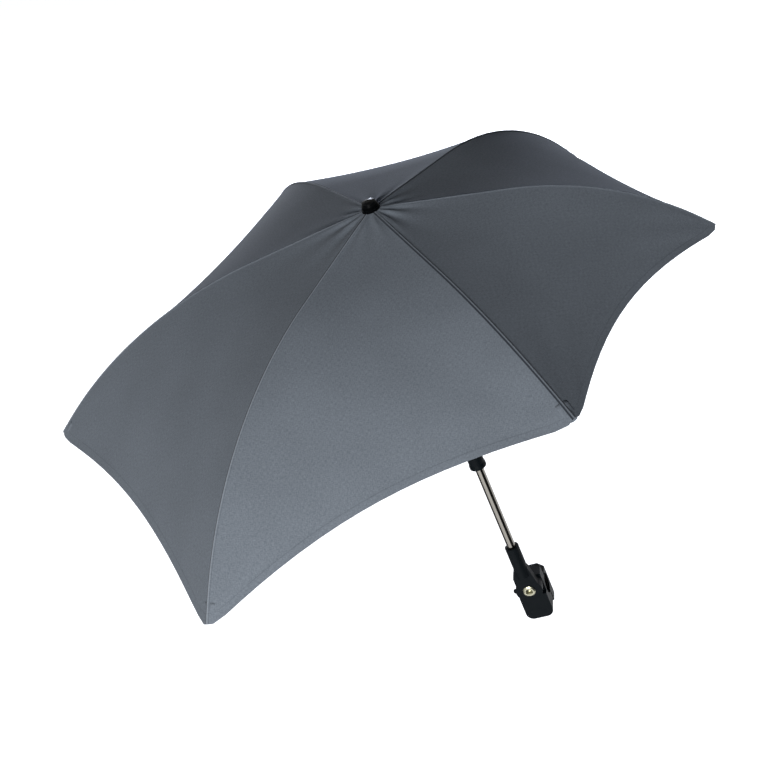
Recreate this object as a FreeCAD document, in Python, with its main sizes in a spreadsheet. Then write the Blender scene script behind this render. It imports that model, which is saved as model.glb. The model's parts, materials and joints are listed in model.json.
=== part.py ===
import FreeCAD, Part
import math
import os
import re

import Sketcher
from FreeCAD import Placement, Rotation, Vector

# Pram parasol in millimetres.  The origin is the middle of the pushchair tube that the clamp
# grips, +Z runs up the shaft, and the pivot rivet faces -Y.

doc = FreeCAD.newDocument("pram_parasol")
sheet = doc.addObject("Spreadsheet::Sheet", "Sizes")

SIZES = {
    # Clamp on the pushchair tube, which lies along X.
    "tube_grip_radius": 10.0,
    "pad_thickness": 2.0,
    "pad_length": 28.0,
    "pad_half_angle": 62.0,
    "clamp_width": 32.0,
    "clamp_above": 28.0,
    "clamp_below": 31.0,
    "clamp_wall": 3.5,
    "clamp_corner": 9.0,
    "jaw_gap": 3.0,
    "jaw_above": 20.5,
    "jaw_below": 29.0,
    "jaw_shoulder": 8.0,
    "jaw_corner": 3.0,
    "tongue_height": 6.0,
    "tongue_drop": 14.0,
    "tongue_gap": 0.8,
    "boss_height": 4.5,
    "notch_width": 3.0,
    "notch_height": 3.0,
    "notch_rise": 3.4,
    "screw_drop": 20.0,
    "screw_radius": 2.0,
    "screw_end": 13.0,
    "insert_radius": 4.0,
    "insert_length": 12.0,
    "post_rise": 15.5,
    "post_radius": 2.5,
    "post_end": 10.5,
    "post_tail": 13.0,
    "knob_radius": 9.0,
    "knob_thickness": 12.0,
    "knob_lobe_radius": 3.0,
    "knob_gap": 0.4,
    "knob_socket": 9.0,
    "knob_chamfer": 1.2,
    "knob_lobes": 6.0,
    # Release button beside the pivot.
    "button_radius": 2.75,
    "button_reach": 20.5,
    "button_drop": 6.5,
    "button_root": 10.0,
    "button_hole_end": 6.4,
    "button_round": 1.2,
    # Pivot at the foot of the shaft.
    "pivot_height": 17.0,
    "eye_radius": 15.4,
    "eye_thickness": 8.0,
    "eye_gap": 0.5,
    "rivet_radius": 4.5,
    "rivet_depth": 6.5,
    "rivet_head_radius": 7.0,
    "rivet_head_height": 1.6,
    "rivet_rim": 0.6,
    "rivet_hollow_radius": 3.6,
    "rivet_hollow_depth": 5.0,
    "washer_radius": 9.0,
    "washer_thickness": 0.4,
    "foot_radius": 8.0,
    "foot_top": 66.0,
    "foot_chamfer": 0.6,
    "foot_web_width": 13.0,
    "foot_web_start": 7.0,
    "foot_web_end": 34.0,
    "foot_sleeve_start": 22.0,
    "tube_start": 25.0,
    # Shaft tubes.
    "shaft_radius": 5.0,
    "shaft_wall": 0.8,
    "fit_gap": 0.05,
    # Tilt joint, heights from its own axis.
    "tilt_height": 198.0,
    "housing_radius": 8.8,
    "housing_lip_radius": 9.5,
    "housing_lip_height": 3.0,
    "housing_below": 14.0,
    "housing_above": 27.0,
    "housing_round": 1.5,
    "housing_slot": 10.6,
    "housing_slot_top": 10.0,
    "housing_seat": 12.0,
    "tilt_pin_radius": 2.0,
    "tilt_pin_length": 16.4,
    "tongue_plug_length": 20.0,
    "tongue_shoulder": 2.0,
    "tongue_shoulder_drop": 8.0,
    "tongue_blade_width": 6.0,
    "tongue_blade_radius": 4.9,
    # Crown at the top of the shaft, heights from the rib hinges.
    "hinge_height": 512.0,
    "hinge_radius": 10.0,
    "crown_radius": 13.5,
    "crown_below": 3.6,
    "crown_above": 2.2,
    "crown_skirt_radius": 7.0,
    "crown_skirt_drop": 14.0,
    "crown_bore_top": 1.0,
    "crown_slot": 2.7,
    "crown_slot_depth": 7.2,
    "pin_radius": 1.0,
    "crown_pin_length": 8.0,
    "cap_radius": 9.4,
    "cap_base": 5.5,
    "cap_edge_height": 2.4,
    "cap_dome_radius": 8.2,
    "cap_height": 9.8,
    "cap_shoulder": 2.6,
    "cap_shoulder_drop": 2.0,
    "cap_stem_radius": 3.0,
    "cap_stem_end": 1.2,
    "cap_notch": 2.2,
    "cap_notch_depth": 1.4,
    # Ribs, from hinge line outwards.
    "rib_count": 6.0,
    "rib_side": 2.6,
    "rib_slope": 9.0,
    "rib_bend": 126.0,
    "rib_reach": 356.0,
    "rib_fall": 131.0,
    "rib_eye_radius": 2.6,
    "rib_eye_width": 2.2,
    "rib_eye_length": 9.0,
    "rib_start": 6.0,
    "joint_along": 118.0,
    "joint_drop": 4.2,
    "joint_web": 2.4,
    "joint_pin_length": 5.8,
    "tip_radius": 3.2,
    "tip_length": 12.0,
    "tip_over": 3.0,
    "tip_round": 2.0,
    "tip_socket_gap": 0.3,
    # Stretchers and the runner they ride on.
    "stretcher_length": 140.0,
    "stretcher_height": 4.0,
    "stretcher_width": 2.6,
    "fork_width": 5.2,
    "fork_length": 9.0,
    "fork_slot": 2.7,
    "fork_slot_depth": 5.6,
    "stretcher_eye_radius": 2.3,
    "runner_radius": 10.5,
    "runner_pin_length": 2.7,
    "runner_flange_radius": 14.0,
    "runner_flange_half": 4.0,
    "runner_slot": 3.1,
    "runner_slot_root": 7.6,
    "runner_skirt_radius": 7.2,
    "runner_skirt_drop": 26.0,
    "runner_lip_radius": 8.6,
    "runner_lip_height": 4.0,
    "runner_top": 7.0,
    "ring_drop": 16.0,
    "ring_height": 2.0,
    "ring_thickness": 1.2,
    # Canopy cloth.
    "cloth_lift": 5.0,
    "cloth_thickness": 1.0,
    "cloth_hole": 8.0,
    "cloth_gap": 0.3,
    "cloth_tip": 2.0,
    "gore_sag": 9.0,
    "hem_share": 0.075,
    "cloth_steps": 16.0,
}

for row, (alias, number) in enumerate(SIZES.items(), start=1):
    sheet.set("A%d" % row, alias)
    sheet.set("B%d" % row, "%g" % number)
    sheet.setAlias("B%d" % row, alias)
doc.recompute()

# Distances that several pieces share.  FRONT and its followers are measured towards -Y.
FRONT = "(tube_grip_radius + pad_thickness + clamp_wall)"
BOSS = "(tube_grip_radius + pad_thickness + clamp_wall + boss_height)"
EYE_FRONT = "(tube_grip_radius + pad_thickness + clamp_wall + boss_height + eye_gap + eye_thickness)"
SHAFT_Y = "-(tube_grip_radius + pad_thickness + clamp_wall + boss_height + eye_gap + eye_thickness / 2)"
JAW_BACK = "(tube_grip_radius + pad_thickness + clamp_wall)"
TILT_Z = "(pivot_height + tilt_height)"
HINGE_Z = "(pivot_height + hinge_height)"

# Joint of rib and stretcher, from the shaft's axis and the hinge level, and the runner it leads to.
JOINT_X = "(hinge_radius + joint_along * cos(rib_slope) - joint_drop * sin(rib_slope))"
JOINT_Z = "(-joint_along * sin(rib_slope) - joint_drop * cos(rib_slope))"
RUNNER_DROP = "(sqrt(stretcher_length ^ 2 - (" + JOINT_X + " - runner_radius) ^ 2) - " + JOINT_Z + ")"
RUNNER_Z = HINGE_Z + " - " + RUNNER_DROP

nodes = []


def tie(text):
    return re.sub(r"[a-z]+(?:_[a-z]+)+", lambda word: "Sizes." + word.group(0), text)


def value(text):
    return float(sheet.evalExpression(tie(text)))


def bind(thing, name, text):
    thing.setExpression(name, tie(text))


def place(thing, across, along, up):
    for name, text in zip("xyz", (across, along, up)):
        bind(thing, "Placement.Base." + name, text)


def new_body(label):
    body = doc.addObject("PartDesign::Body", label)
    nodes.append(body)
    return body


def origin_part(body, role):
    return [part for part in body.Origin.OriginFeatures if part.Role == role][0]


def sketch_on(body, plane, name, lift="0"):
    sketch = body.newObject("Sketcher::SketchObject", body.Name + "_" + name)
    sketch.AttachmentSupport = [(origin_part(body, plane), "")]
    sketch.MapMode = "FlatFace"
    bind(sketch, "AttachmentOffset.Base.z", lift)
    return sketch


def hold(sketch, line, end, across, up):
    for kind, text in (("DistanceX", across), ("DistanceY", up)):
        rule = sketch.addConstraint(Sketcher.Constraint(kind, -1, 1, line, end, value(text)))
        bind(sketch, "Constraints[%d]" % rule, text)


def outline(sketch, corners):
    spots = [Vector(value(across), value(up), 0) for across, up in corners]
    first = sketch.GeometryCount
    for here, after in zip(spots, spots[1:] + spots[:1]):
        sketch.addGeometry(Part.LineSegment(here, after), False)
    for step in range(len(corners)):
        after = first + (step + 1) % len(corners)
        sketch.addConstraint(Sketcher.Constraint("Coincident", first + step, 2, after, 1))
    for step, (across, up) in enumerate(corners):
        hold(sketch, first + step, 1, across, up)
    return sketch


def block(sketch, left, right, low, high):
    return outline(sketch, [(left, low), (right, low), (right, high), (left, high)])


def circle(sketch, across, up, radius):
    middle = Vector(value(across), value(up), 0)
    round_line = sketch.addGeometry(Part.Circle(middle, Vector(0, 0, 1), value(radius)), False)
    hold(sketch, round_line, 3, across, up)
    rule = sketch.addConstraint(Sketcher.Constraint("Radius", round_line, value(radius)))
    bind(sketch, "Constraints[%d]" % rule, radius)
    return sketch


def grow(kind, sketch, length, both=False, back=False):
    body = sketch.getParentGeoFeatureGroup()
    made = body.newObject(kind, sketch.Name + "_" + kind.split("::")[1].lower())
    made.Profile = sketch
    made.SideType = "Symmetric" if both else "One side"
    made.Reversed = back
    bind(made, "Length", length)
    return made


def pad(sketch, length, both=False, back=False):
    return grow("PartDesign::Pad", sketch, length, both, back)


def pocket(sketch, length, both=False, back=False):
    return grow("PartDesign::Pocket", sketch, length, both, back)


def spin(sketch, axis="V_Axis", sweep="360", kind="PartDesign::Revolution"):
    body = sketch.getParentGeoFeatureGroup()
    made = body.newObject(kind, sketch.Name + "_" + kind.split("::")[1].lower())
    made.Profile = sketch
    made.ReferenceAxis = (sketch, [axis])
    made.Midplane = True
    bind(made, "Angle", sweep)
    return made


def around(body, feature, axis="Z_Axis", count="rib_count"):
    made = body.newObject("PartDesign::PolarPattern", feature.Name + "_ring")
    made.Originals = [feature]
    made.Axis = (origin_part(body, axis), [""])
    made.Angle = 360.0
    bind(made, "Occurrences", count)
    body.Tip = made
    return made


def soften(body, kind, amount, wanted):
    doc.recompute()
    edges = body.Tip.Shape.Edges
    names = ["Edge%d" % (step + 1) for step, edge in enumerate(edges) if wanted(edge)]
    base = body.Tip
    made = body.newObject("PartDesign::" + kind, base.Name + "_" + kind.lower())
    made.Base = (base, names)
    bind(made, "Radius" if kind == "Fillet" else "Size", amount)
    return made


def same(first, second):
    return abs(first - second) < 1e-4


def ends_at(edge, axis, wanted):
    return all(same(getattr(end.Point, axis), wanted) for end in edge.Vertexes)


def rod(label, radius, length, turn=None):
    made = doc.addObject("Part::Cylinder", label)
    bind(made, "Radius", radius)
    bind(made, "Height", length)
    if turn:
        made.Placement = Placement(Vector(), turn)
    nodes.append(made)
    return made


ALONG_Y = Rotation(Vector(1, 0, 0), -90)
ALONG_X = Rotation(Vector(0, 1, 0), 90)

# Clamp body: front jaw, raised tongue below the eye, boss under the eye.
clamp = new_body("clamp_body")
face = sketch_on(clamp, "XZ_Plane", "face", "jaw_gap / 2")
block(face, "-clamp_width / 2", "clamp_width / 2", "-clamp_below", "clamp_above")
pad(face, FRONT + " - jaw_gap / 2")
tongue = sketch_on(clamp, "XZ_Plane", "tongue", FRONT)
block(tongue, "-clamp_width / 2", "clamp_width / 2", "-clamp_below", "pivot_height - tongue_drop")
pad(tongue, "tongue_height")
clear = sketch_on(clamp, "XZ_Plane", "clear", FRONT)
circle(clear, "0", "pivot_height", "eye_radius + tongue_gap")
pocket(clear, "tongue_height", back=True)
boss = sketch_on(clamp, "XZ_Plane", "boss", FRONT)
circle(boss, "0", "pivot_height", "eye_radius")
pad(boss, "boss_height")
channel = sketch_on(clamp, "YZ_Plane", "channel")
circle(channel, "0", "0", "tube_grip_radius + pad_thickness")
pocket(channel, "clamp_width", both=True)
insert_hole = sketch_on(clamp, "XZ_Plane", "insert_hole", "jaw_gap / 2")
circle(insert_hole, "0", "-screw_drop", "insert_radius + fit_gap")
pocket(insert_hole, "insert_length", back=True)
post_hole = sketch_on(clamp, "XZ_Plane", "post_hole", "jaw_gap / 2")
circle(post_hole, "0", "post_rise", "post_radius + fit_gap")
pocket(post_hole, "post_end", back=True)
rivet_hole = sketch_on(clamp, "XZ_Plane", "rivet_hole", BOSS)
circle(rivet_hole, "0", "pivot_height", "rivet_radius + fit_gap")
pocket(rivet_hole, "rivet_depth")
button_hole = sketch_on(clamp, "YZ_Plane", "button_hole", "-clamp_width / 2")
circle(button_hole, "-" + FRONT, "pivot_height - button_drop", "button_radius + fit_gap")
pocket(button_hole, "clamp_width / 2 - button_hole_end", back=True)
notch = sketch_on(clamp, "XZ_Plane", "notch")
notch_low = "pivot_height - button_drop + notch_rise"
block(notch, "-clamp_width", "notch_width - clamp_width / 2", notch_low, notch_low + " + notch_height")
pocket(notch, "2 * " + EYE_FRONT, both=True)
half_width = value("clamp_width / 2")
floor_z = value("-clamp_below")
soften(clamp, "Fillet", "clamp_corner", lambda edge: ends_at(edge, "z", floor_z)
       and (ends_at(edge, "x", half_width) or ends_at(edge, "x", -half_width)))

front_pad = new_body("front_jaw_pad")
strip = sketch_on(front_pad, "XY_Plane", "strip")
block(strip, "-pad_length / 2", "pad_length / 2",
      "-tube_grip_radius - pad_thickness + fit_gap", "-tube_grip_radius")
spin(strip, "H_Axis", "2 * pad_half_angle")

insert = new_body("screw_insert")
ring = sketch_on(insert, "XZ_Plane", "ring", "jaw_gap / 2")
circle(ring, "0", "-screw_drop", "insert_radius")
circle(ring, "0", "-screw_drop", "screw_radius + fit_gap")
pad(ring, "insert_length - jaw_gap / 2")

post = rod("guide_post", "post_radius", "jaw_gap / 2 + post_end + post_tail", ALONG_Y)
place(post, "0", "-post_end", "post_rise")

# Rear jaw, drawn up by the thumb screw.
jaw = new_body("rear_jaw")
jaw_face = sketch_on(jaw, "XZ_Plane", "face", "-" + JAW_BACK)
outline(jaw_face, [("-clamp_width / 2", "-jaw_below"), ("clamp_width / 2", "-jaw_below"),
                   ("clamp_width / 2", "jaw_above - jaw_shoulder"),
                   ("clamp_width / 2 - jaw_shoulder", "jaw_above"),
                   ("jaw_shoulder - clamp_width / 2", "jaw_above"),
                   ("-clamp_width / 2", "jaw_above - jaw_shoulder")])
pad(jaw_face, JAW_BACK + " - jaw_gap / 2")
jaw_channel = sketch_on(jaw, "YZ_Plane", "channel")
circle(jaw_channel, "0", "0", "tube_grip_radius + pad_thickness")
pocket(jaw_channel, "clamp_width", both=True)
jaw_holes = sketch_on(jaw, "XZ_Plane", "holes")
circle(jaw_holes, "0", "-screw_drop", "screw_radius + fit_gap")
circle(jaw_holes, "0", "post_rise", "post_radius + fit_gap")
pocket(jaw_holes, "3 * " + JAW_BACK, both=True)
jaw_y = value(JAW_BACK)
soften(jaw, "Fillet", "jaw_corner", lambda edge: ends_at(edge, "y", jaw_y)
       and (ends_at(edge, "z", value("jaw_above")) or ends_at(edge, "z", value("-jaw_below"))))

rear_pad = new_body("rear_jaw_pad")
strip = sketch_on(rear_pad, "XY_Plane", "strip")
block(strip, "-pad_length / 2", "pad_length / 2",
      "tube_grip_radius", "tube_grip_radius + pad_thickness - fit_gap")
spin(strip, "H_Axis", "2 * pad_half_angle")

# Thumb knob and its screw turn together.
knob = new_body("thumb_knob")
knob_face = sketch_on(knob, "XZ_Plane", "face", "-knob_thickness")
circle(knob_face, "0", "0", "knob_radius")
pad(knob_face, "knob_thickness")
lobe = sketch_on(knob, "XZ_Plane", "lobe", "-knob_thickness")
circle(lobe, "knob_radius", "0", "knob_lobe_radius")
around(knob, pad(lobe, "knob_thickness"), "Y_Axis", "knob_lobes")
knob_hole = sketch_on(knob, "XZ_Plane", "hole")
circle(knob_hole, "0", "0", "screw_radius")
pocket(knob_hole, "knob_socket")
knob_y = value("knob_thickness")
soften(knob, "Chamfer", "knob_chamfer", lambda edge: ends_at(edge, "y", knob_y))
place(knob, "0", JAW_BACK + " + knob_gap", "-screw_drop")

screw = rod("clamp_screw", "screw_radius", "screw_end + " + JAW_BACK + " + knob_gap + knob_socket", ALONG_Y)
place(screw, "0", "-screw_end", "-screw_drop")

# Release button for the pivot, a plunger along X.
button = new_body("release_button")
plunger = sketch_on(button, "XY_Plane", "plunger")
outline(plunger, [("-button_reach", "0"), ("-button_root", "0"), ("-button_root", "button_radius"),
                  ("-button_reach + button_round", "button_radius"),
                  ("-button_reach", "button_radius - button_round")])
spin(plunger, "H_Axis")
place(button, "0", "-" + FRONT, "pivot_height - button_drop")

# Pivot rivet with a dished, hollow head, and the spring washer under the eye.
rivet = new_body("pivot_rivet")
rivet_line = sketch_on(rivet, "XY_Plane", "line")
rivet_end = BOSS + " - rivet_depth"
head_face = EYE_FRONT + " + rivet_head_height"
outline(rivet_line, [("0", "-(" + rivet_end + ")"),
                     ("rivet_radius", "-(" + rivet_end + ")"),
                     ("rivet_radius", "-" + EYE_FRONT),
                     ("rivet_head_radius", "-" + EYE_FRONT),
                     ("rivet_head_radius", "-(" + EYE_FRONT + " + rivet_rim)"),
                     ("rivet_head_radius - rivet_head_height", "-(" + head_face + ")"),
                     ("rivet_hollow_radius + rivet_rim", "-(" + head_face + ")"),
                     ("rivet_hollow_radius", "-(" + head_face + " - rivet_rim)"),
                     ("rivet_hollow_radius", "-(" + head_face + " - rivet_hollow_depth)"),
                     ("0", "-(" + head_face + " - rivet_hollow_depth - rivet_rim)")])
spin(rivet_line)
place(rivet, "0", "0", "pivot_height")

washer = new_body("pivot_washer")
washer_ring = sketch_on(washer, "XZ_Plane", "ring", BOSS + " + fit_gap")
circle(washer_ring, "0", "pivot_height", "washer_radius")
circle(washer_ring, "0", "pivot_height", "rivet_radius + fit_gap")
pad(washer_ring, "washer_thickness")

# Foot socket: an eye on the pivot that runs up into a sleeve for the tube.
foot = new_body("foot_socket")
eye = sketch_on(foot, "XZ_Plane", "eye")
circle(eye, "0", "0", "eye_radius")
pad(eye, "eye_thickness", both=True)
web = sketch_on(foot, "XZ_Plane", "web")
outline(web, [("-foot_web_width", "foot_web_start"), ("foot_web_width", "foot_web_start"),
              ("foot_radius", "foot_web_end"), ("-foot_radius", "foot_web_end")])
pad(web, "eye_thickness", both=True)
sleeve = sketch_on(foot, "XY_Plane", "sleeve", "foot_sleeve_start")
circle(sleeve, "0", "0", "foot_radius")
pad(sleeve, "foot_top - foot_sleeve_start")
rivet_bore = sketch_on(foot, "XZ_Plane", "rivet_bore")
circle(rivet_bore, "0", "0", "rivet_radius + fit_gap")
pocket(rivet_bore, "2 * eye_thickness", both=True)
tube_bore = sketch_on(foot, "XY_Plane", "tube_bore", "foot_top")
circle(tube_bore, "0", "0", "shaft_radius + fit_gap")
pocket(tube_bore, "foot_top - tube_start")
soften(foot, "Chamfer", "foot_chamfer", lambda edge: ends_at(edge, "z", value("foot_top")))
place(foot, "0", SHAFT_Y, "pivot_height")


def tube(label, low, high):
    body = new_body(label)
    ring = sketch_on(body, "XY_Plane", "ring")
    circle(ring, "0", "0", "shaft_radius")
    circle(ring, "0", "0", "shaft_radius - shaft_wall")
    pad(ring, high + " - (" + low + ")")
    place(body, "0", SHAFT_Y, low)


tube("lower_tube", "pivot_height + tube_start", TILT_Z + " - tongue_shoulder_drop")

# Tilt joint: a tongue on the lower tube inside a slotted housing on the upper one.
tongue = new_body("tilt_tongue")
plug = sketch_on(tongue, "XZ_Plane", "plug")
shoulder_top = "tongue_shoulder - tongue_shoulder_drop"
outline(plug, [("0", "-tongue_shoulder_drop - tongue_plug_length"),
               ("shaft_radius - shaft_wall - fit_gap", "-tongue_shoulder_drop - tongue_plug_length"),
               ("shaft_radius - shaft_wall - fit_gap", "-tongue_shoulder_drop"),
               ("shaft_radius", "-tongue_shoulder_drop"),
               ("shaft_radius", shoulder_top),
               ("0", shoulder_top)])
spin(plug)
blade = sketch_on(tongue, "YZ_Plane", "blade")
block(blade, "-tongue_blade_radius", "tongue_blade_radius", shoulder_top, "0")
pad(blade, "tongue_blade_width", both=True)
blade_top = sketch_on(tongue, "YZ_Plane", "blade_top")
circle(blade_top, "0", "0", "tongue_blade_radius")
pad(blade_top, "tongue_blade_width", both=True)
blade_hole = sketch_on(tongue, "YZ_Plane", "blade_hole")
circle(blade_hole, "0", "0", "tilt_pin_radius + fit_gap")
pocket(blade_hole, "2 * tongue_blade_width", both=True)
place(tongue, "0", SHAFT_Y, TILT_Z)

housing = new_body("tilt_housing")
shell = sketch_on(housing, "XZ_Plane", "shell")
outline(shell, [("0", "-housing_below"),
                ("housing_lip_radius", "-housing_below"),
                ("housing_lip_radius", "housing_lip_height - housing_below"),
                ("housing_radius", "2 * housing_lip_height - housing_below"),
                ("housing_radius", "housing_above - housing_round"),
                ("housing_radius - housing_round", "housing_above"),
                ("0", "housing_above")])
spin(shell)
slot = sketch_on(housing, "XZ_Plane", "slot", "housing_slot / 2")
block(slot, "-housing_slot / 2", "housing_slot / 2", "-2 * housing_below", "housing_slot_top")
pocket(slot, "3 * housing_radius")
seat = sketch_on(housing, "XY_Plane", "seat", "housing_above")
circle(seat, "0", "0", "shaft_radius + fit_gap")
pocket(seat, "housing_above - housing_seat")
cross = sketch_on(housing, "YZ_Plane", "cross")
circle(cross, "0", "0", "tilt_pin_radius")
pocket(cross, "4 * housing_radius", both=True)
place(housing, "0", SHAFT_Y, TILT_Z)

tilt_pin = rod("tilt_pin", "tilt_pin_radius", "tilt_pin_length", ALONG_X)
place(tilt_pin, "-tilt_pin_length / 2", SHAFT_Y, TILT_Z)

tube("upper_tube", TILT_Z + " + housing_seat", HINGE_Z + " + crown_bore_top")

# Crown: slots and cross pins for the ribs, and the cap that holds the cloth down.
crown = new_body("crown")
hub = sketch_on(crown, "XZ_Plane", "hub")
outline(hub, [("0", "-crown_skirt_drop"), ("crown_skirt_radius", "-crown_skirt_drop"),
              ("crown_skirt_radius", "-crown_below"), ("crown_radius", "-crown_below"),
              ("crown_radius", "crown_above"), ("0", "crown_above")])
spin(hub)
crown_bore = sketch_on(crown, "XY_Plane", "bore", "crown_bore_top")
circle(crown_bore, "0", "0", "shaft_radius + fit_gap")
pocket(crown_bore, "2 * crown_skirt_drop")
stem_hole = sketch_on(crown, "XY_Plane", "stem_hole", "crown_above")
circle(stem_hole, "0", "0", "cap_stem_radius")
pocket(stem_hole, "crown_above - crown_bore_top")
crown_slot = sketch_on(crown, "XY_Plane", "slot", "2 * crown_above")
block(crown_slot, "crown_radius - crown_slot_depth", "2 * crown_radius", "-crown_slot / 2", "crown_slot / 2")
around(crown, pocket(crown_slot, "4 * crown_below"))
crown_cross = sketch_on(crown, "XZ_Plane", "cross")
circle(crown_cross, "hinge_radius", "0", "pin_radius")
around(crown, pocket(crown_cross, "crown_pin_length", both=True))
place(crown, "0", SHAFT_Y, HINGE_Z)

cap = new_body("ferrule_cap")
dome = sketch_on(cap, "XZ_Plane", "dome")
cap_rise = "cap_base + cap_height"
outline(dome, [("0", "cap_stem_end"), ("cap_stem_radius", "cap_stem_end"),
               ("cap_stem_radius", "cap_base"), ("cap_radius", "cap_base"),
               ("cap_radius", "cap_base + cap_edge_height"),
               ("cap_dome_radius", "cap_base + cap_edge_height"),
               ("cap_dome_radius", cap_rise + " - 2 * cap_shoulder_drop"),
               ("cap_dome_radius - cap_shoulder / 2", cap_rise + " - cap_shoulder_drop / 2"),
               ("cap_dome_radius - 2 * cap_shoulder", cap_rise), ("0", cap_rise)])
spin(dome)
cap_notch = sketch_on(cap, "XY_Plane", "notch", "cap_base + cap_edge_height")
block(cap_notch, "cap_radius - cap_notch_depth", "2 * cap_radius", "-cap_notch / 2", "cap_notch / 2")
around(cap, pocket(cap_notch, "cap_edge_height"))
place(cap, "0", SHAFT_Y, HINGE_Z)

# Runner with a slot for each stretcher, and the grip ring that holds it on the tube.
slope = math.radians(value("rib_slope"))
along, below = Vector(math.cos(slope), 0, -math.sin(slope)), Vector(-math.sin(slope), 0, -math.cos(slope))
hinge = Vector(value("hinge_radius"), 0, 0)
joint = hinge + along * value("joint_along") + below * value("joint_drop")
runner_drop = value(RUNNER_DROP)

runner = new_body("runner")
barrel = sketch_on(runner, "XZ_Plane", "barrel")
tube_bore = "shaft_radius + fit_gap"
ring_low = "-ring_drop - fit_gap"
ring_high = "ring_height - ring_drop + fit_gap"
ring_wide = "shaft_radius + ring_thickness + 2 * fit_gap"
outline(barrel, [(tube_bore, "-runner_skirt_drop"),
                 ("runner_lip_radius", "-runner_skirt_drop"),
                 ("runner_lip_radius", "runner_lip_height - runner_skirt_drop"),
                 ("runner_skirt_radius", "runner_lip_height - runner_skirt_drop"),
                 ("runner_skirt_radius", "-runner_flange_half"),
                 ("runner_flange_radius", "-runner_flange_half"),
                 ("runner_flange_radius", "runner_flange_half"),
                 ("runner_skirt_radius", "runner_flange_half"),
                 ("runner_skirt_radius", "runner_top"),
                 (tube_bore, "runner_top"),
                 (tube_bore, ring_high), (ring_wide, ring_high),
                 (ring_wide, ring_low), (tube_bore, ring_low)])
spin(barrel)
runner_slot = sketch_on(runner, "XY_Plane", "slot", "runner_flange_half")
block(runner_slot, "runner_slot_root", "2 * runner_flange_radius", "-runner_slot / 2", "runner_slot / 2")
around(runner, pocket(runner_slot, "2 * runner_flange_half"))
place(runner, "0", SHAFT_Y, RUNNER_Z)

grip = new_body("runner_grip_ring")
grip_ring = sketch_on(grip, "XY_Plane", "ring", "-ring_drop")
circle(grip_ring, "0", "0", tube_bore)
circle(grip_ring, "0", "0", "shaft_radius + ring_thickness + fit_gap")
pad(grip_ring, "ring_height")
place(grip, "0", SHAFT_Y, RUNNER_Z)

# Ribs.  Each starts straight from the crown and bends down in one arc to its own tip, which
# the photograph shows nearer or farther out, and higher or lower, than its neighbours' tips.
reach_shares = (0.87, 0.91, 0.97, 1.155, 1.11, 0.97)
fall_shares = (0.88, 1.05, 0.74, 1.155, 1.365, 0.68)
count = int(value("rib_count"))
stretcher_way = Vector(value("runner_radius"), 0, -runner_drop) - joint
stretcher_turn = math.degrees(math.atan2(-stretcher_way.z, stretcher_way.x))


def rib_frame(number):
    spot = Vector(0, value(SHAFT_Y), value(HINGE_Z))
    return Placement(spot, Rotation(Vector(0, 0, 1), 360.0 * number / count))


def tip_texts(number):
    reach = "(rib_reach * %g)" % reach_shares[number % len(reach_shares)]
    fall = "(rib_fall * %g)" % fall_shares[number % len(fall_shares)]
    return reach, fall


class RibLine:
    # Straight run and arc of one rib, in its own upright plane, as plain numbers.
    def __init__(self, number):
        reach, fall = tip_texts(number)
        self.bend = hinge + along * value("rib_bend")
        self.tip = Vector(value(reach), 0, -value(fall))
        chord = self.tip - self.bend
        sink = chord.dot(below)
        self.radius = chord.dot(chord) / (2 * sink)
        self.middle = self.bend + below * self.radius
        self.sweep = 2 * math.atan2(sink, chord.dot(along))
        self.run = value("rib_bend") + self.radius * self.sweep

    def point(self, distance, lift):
        straight = value("rib_bend")
        if distance <= straight:
            return hinge + along * distance - below * lift
        turned = (distance - straight) / self.radius
        outward = along * math.sin(turned) - below * math.cos(turned)
        return self.middle + outward * (self.radius + lift)


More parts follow.
